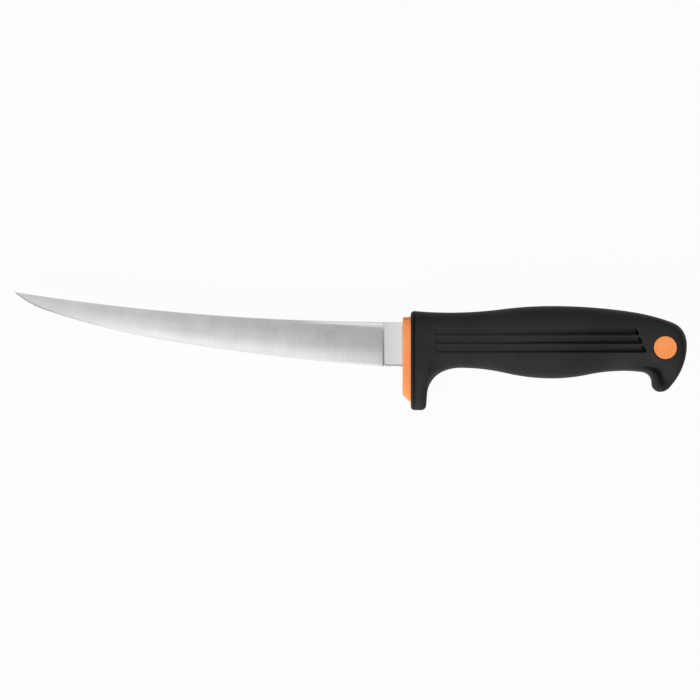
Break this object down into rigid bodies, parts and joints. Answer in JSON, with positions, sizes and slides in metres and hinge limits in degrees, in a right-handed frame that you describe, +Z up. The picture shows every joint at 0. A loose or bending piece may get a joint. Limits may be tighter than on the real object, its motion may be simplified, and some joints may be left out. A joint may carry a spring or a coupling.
{
  "type": "fillet knife",
  "caption": "Fillet knife with a thin up-curved blade, a black soft grip with finger guard, grooved sides and hooked butt, and an orange collar and butt plug.",
  "frame": {"origin": "on the table under the middle of the knife's length and height, with the knife lying on its right side", "axes": "+X from the blade's tip to the butt, +Y from the edge to the spine, +Z up out of the left side"},
  "size_m": [0.3084, 0.0542, 0.023],
  "materials": {
    "blade_steel": "fine satin grind",
    "pin_steel": "drawn wire",
    "orange_plastic": "satin moulded",
    "core_plastic": "moulded",
    "grip_rubber": "fine matt texture"
  },
  "bodies": {
    "root": {"blade": "blade_steel", "front_collar": "orange_plastic", "core_left_half": "core_plastic", "core_right_half": "core_plastic", "tang_pins": "pin_steel", "butt_plug_left": "orange_plastic", "butt_plug_right": "orange_plastic", "grip": "grip_rubber"}
  },
  "joints": []
}
